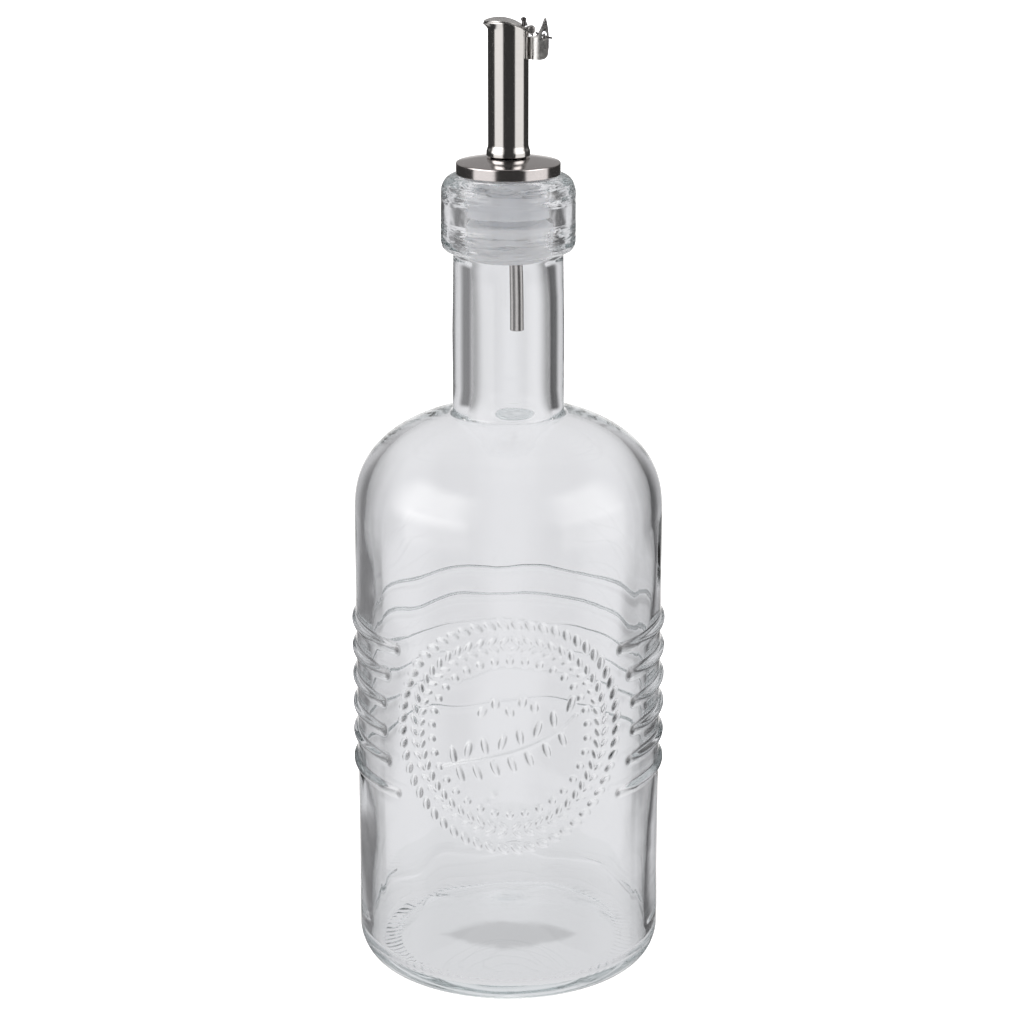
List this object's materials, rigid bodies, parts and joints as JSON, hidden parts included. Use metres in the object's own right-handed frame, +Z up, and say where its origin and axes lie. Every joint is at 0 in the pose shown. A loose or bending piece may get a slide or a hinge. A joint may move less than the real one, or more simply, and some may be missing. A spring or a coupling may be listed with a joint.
{
  "type": "oil and vinegar bottle",
  "caption": "Clear ribbed glass bottle with a round embossed medallion, a finned stopper and a steel pouring spout closed by a hinged flap.",
  "frame": {"origin": "centre of the ring that the bottle stands on, at its lowest level", "axes": "+Z up along the bottle, -Y towards the medallion, -X towards the pouring lip"},
  "size_m": [0.0778, 0.0774, 0.2359],
  "materials": {
    "clear_glass": "clear, smooth, slightly wavy inside",
    "stopper_plastic": "milky, translucent",
    "brushed_steel": "fine brushed, half bright",
    "dark_steel": "dark wire"
  },
  "bodies": {
    "bottle": {"bottle": "clear_glass", "stopper": "stopper_plastic", "collar": "brushed_steel", "air_tube": "brushed_steel", "spout": "brushed_steel", "clevis": "brushed_steel"},
    "flap": {"flap_lid": "brushed_steel", "flap_wire": "dark_steel", "flap_knob": "dark_steel"}
  },
  "joints": [
    {"name": "flap_hinge", "type": "hinge", "parent": "bottle", "child": "flap", "pos_m": [0.0084, 0, 0.2315], "axis": [0, 1, 0], "range_deg": [0, 95]}
  ]
}
